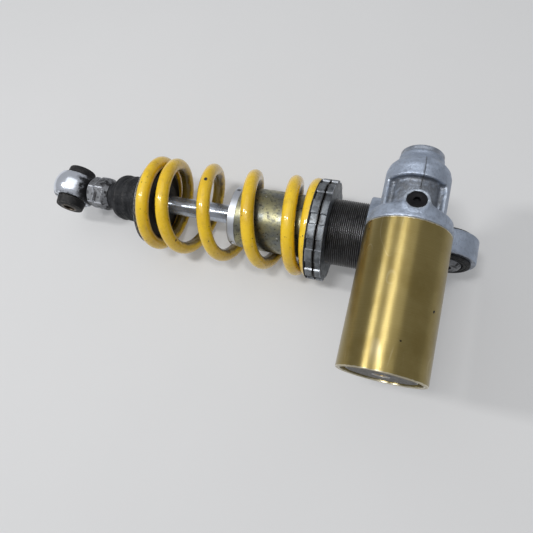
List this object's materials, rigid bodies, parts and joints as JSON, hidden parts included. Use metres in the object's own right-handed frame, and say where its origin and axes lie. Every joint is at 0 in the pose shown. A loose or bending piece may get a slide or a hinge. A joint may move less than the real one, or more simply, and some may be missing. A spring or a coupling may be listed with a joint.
{
  "type": "motorcycle rear shock absorber",
  "caption": "Coil-sprung motorcycle rear damper with a reservoir beside the head, threaded preload rings, a length adjuster and a spherical bearing eye at each end.",
  "frame": {"origin": "centre of the head eye bolt bore", "axes": "+X along the damper from the lower eye to the head eye, +Y along both bolt bores, away from the reservoir, +Z towards the side that carries the reservoir"},
  "size_m": [0.3751, 0.1532, 0.1314],
  "materials": {
    "cast_aluminium": "sand-cast, blue-grey, satin",
    "machined_aluminium": "machined, worn edges",
    "polished_aluminium": "turned and polished",
    "black_anodised": "black anodised thread",
    "gold_anodised": "brushed, gold anodised",
    "grey_anodised": "grey anodised",
    "zinc_steel": "olive zinc plate, speckled",
    "polished_steel": "polished",
    "dark_steel": "dark, worn bright on the edges",
    "bearing_steel": "ground",
    "hard_chrome": "hard chrome, polished",
    "spring_enamel": "gloss yellow enamel, chipped",
    "bronze": "bronze-coloured bearing metal",
    "brass": "turned brass",
    "black_rubber": "matte",
    "black_bush": "dark, matte",
    "black_foam": "micro-cellular urethane"
  },
  "bodies": {
    "damper_body": {"head_casting": "cast_aluminium", "head_race": "bearing_steel", "head_seal_front": "black_rubber", "head_seal_rear": "black_rubber", "damper_tube": "zinc_steel", "threaded_sleeve": "black_anodised", "seal_head": "polished_aluminium", "guide_bush": "bronze", "shaft_seal": "black_rubber", "shaft_wiper": "black_rubber", "rebound_bumper": "black_rubber", "spring": "spring_enamel", "reservoir_tube": "gold_anodised", "reservoir_seal": "black_rubber", "reservoir_end_cap": "grey_anodised", "reservoir_circlip": "dark_steel", "gas_valve": "brass", "valve_seat": "brass", "bleed_plug": "black_anodised", "bleed_plug_seal": "bronze"},
    "shaft_assembly": {"shaft": "hard_chrome", "piston": "machined_aluminium", "piston_band": "black_bush", "compression_shims": "bearing_steel", "rebound_shims": "bearing_steel", "piston_nut": "bearing_steel", "adjuster_stud": "dark_steel", "rubber_boot": "black_rubber", "spring_seat": "grey_anodised", "bump_stop": "black_foam", "seat_clip": "bearing_steel"},
    "length_adjuster_body": {"length_adjuster": "dark_steel", "jam_nut": "dark_steel"},
    "lower_eye_body": {"lower_eye": "polished_steel", "lower_race": "bearing_steel"},
    "lower_bearing": {"lower_ball": "bearing_steel"},
    "lower_spacer": {"lower_sleeve": "bearing_steel", "lower_bush_front": "black_bush", "lower_bush_rear": "black_bush"},
    "spring_rest": {"thrust_washer": "black_bush"},
    "preload_ring_body": {"preload_ring": "machined_aluminium"},
    "lock_ring_body": {"lock_ring": "machined_aluminium"},
    "head_bearing": {"head_ball": "bearing_steel"},
    "head_spacer": {"head_sleeve": "dark_steel"},
    "floating_piston_body": {"floating_piston": "machined_aluminium", "floating_piston_seal": "black_rubber"},
    "needle_body": {"needle_screw": "bearing_steel"},
    "knob_body": {"compression_knob": "gold_anodised"}
  },
  "joints": [
    {"name": "damper_stroke", "type": "slide", "parent": "damper_body", "child": "shaft_assembly", "axis": [1, 0, 0], "range_m": [0, 0.055], "stiffness_N_per_m": 90000, "springref_m": -0.008, "deforming": ["spring"]},
    {"name": "adjuster_turn", "type": "hinge", "parent": "shaft_assembly", "child": "length_adjuster_body", "pos_m": [-0.3, 0, 0], "axis": [1, 0, 0], "range_deg": [0, 1440]},
    {"name": "eye_extension", "type": "slide", "parent": "shaft_assembly", "child": "lower_eye_body", "axis": [-1, 0, 0], "range_m": [0, 0.006]},
    {"name": "lower_eye_tilt", "type": "hinge", "parent": "lower_eye_body", "child": "lower_bearing", "pos_m": [-0.3324, 0, 0], "axis": [1, 0, 0], "range_deg": [-2, 2]},
    {"name": "lower_eye_swivel", "type": "hinge", "parent": "lower_bearing", "child": "lower_spacer", "pos_m": [-0.3324, 0, 0], "axis": [0, 1, 0], "continuous": true},
    {"name": "ring_travel", "type": "slide", "parent": "damper_body", "child": "spring_rest", "axis": [1, 0, 0], "range_m": [0, 0.018]},
    {"name": "ring_turn", "type": "hinge", "parent": "spring_rest", "child": "preload_ring_body", "pos_m": [-0.0973, 0, 0], "axis": [1, 0, 0], "range_deg": [0, 4320]},
    {"name": "lock_ring_turn", "type": "hinge", "parent": "spring_rest", "child": "lock_ring_body", "pos_m": [-0.0908, 0, 0], "axis": [1, 0, 0], "range_deg": [0, 4320]},
    {"name": "head_eye_tilt", "type": "hinge", "parent": "damper_body", "child": "head_bearing", "pos_m": [0, 0, 0], "axis": [1, 0, 0], "range_deg": [-2, 2]},
    {"name": "head_eye_swivel", "type": "hinge", "parent": "head_bearing", "child": "head_spacer", "pos_m": [0, 0, 0], "axis": [0, 1, 0], "continuous": true},
    {"name": "floating_piston_slide", "type": "slide", "parent": "damper_body", "child": "floating_piston_body", "axis": [0, -1, 0], "range_m": [0, 0.006]},
    {"name": "compression_knob_turn", "type": "hinge", "parent": "damper_body", "child": "knob_body", "pos_m": [-0.0295, 0.035, 0.0625], "axis": [0, 1, 0], "range_deg": [0, 720]},
    {"name": "needle_lift", "type": "slide", "parent": "damper_body", "child": "needle_body", "axis": [0, 1, 0], "range_m": [0, 0.002]}
  ],
  "couplings": [
    {"joint": "adjuster_turn", "follows": "eye_extension", "rad_per_m": 4188.8},
    {"joint": "ring_turn", "follows": "ring_travel", "rad_per_m": 4188.8},
    {"joint": "lock_ring_turn", "follows": "ring_travel", "rad_per_m": 4188.8},
    {"joint": "floating_piston_slide", "follows": "damper_stroke", "ratio": 0.1024},
    {"joint": "compression_knob_turn", "follows": "needle_lift", "rad_per_m": 6283.2}
  ]
}
